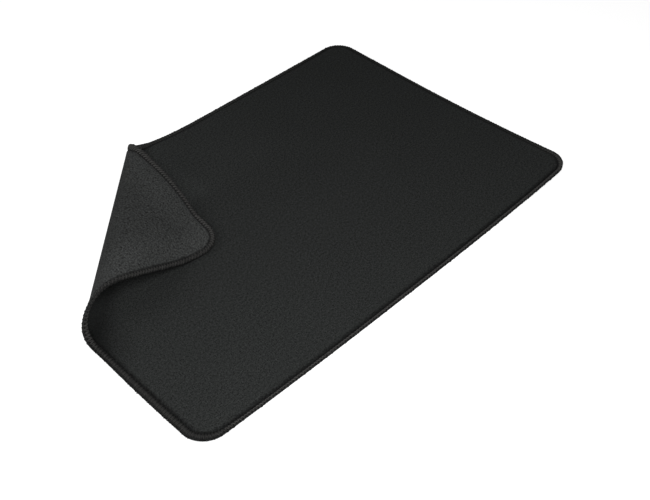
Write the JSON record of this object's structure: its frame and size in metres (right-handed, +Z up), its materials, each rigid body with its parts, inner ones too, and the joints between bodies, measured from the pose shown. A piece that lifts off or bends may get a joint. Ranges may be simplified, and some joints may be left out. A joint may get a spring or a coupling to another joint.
{
  "type": "mouse pad",
  "caption": "Black cloth mouse pad with a foam rubber base and an overlocked edge, lying flat with one corner folded over.",
  "frame": {"origin": "on the surface that the pad lies on, under the middle of its outline", "axes": "+X along the pad's long side, +Y along its short side towards the folded corner's long edge, +Z up out of the cloth"},
  "size_m": [0.35, 0.24, 0.0292],
  "materials": {
    "rubber": "matt, finely pebbled",
    "adhesive": "smooth",
    "cloth": "matt, close knit",
    "thread": "soft sheen, textured polyester"
  },
  "bodies": {
    "root": {"rubber_base": "rubber", "bonding_film": "adhesive", "cloth_top": "cloth", "upper_looper_thread": "thread", "lower_looper_thread": "thread", "needle_thread": "thread"}
  },
  "joints": []
}
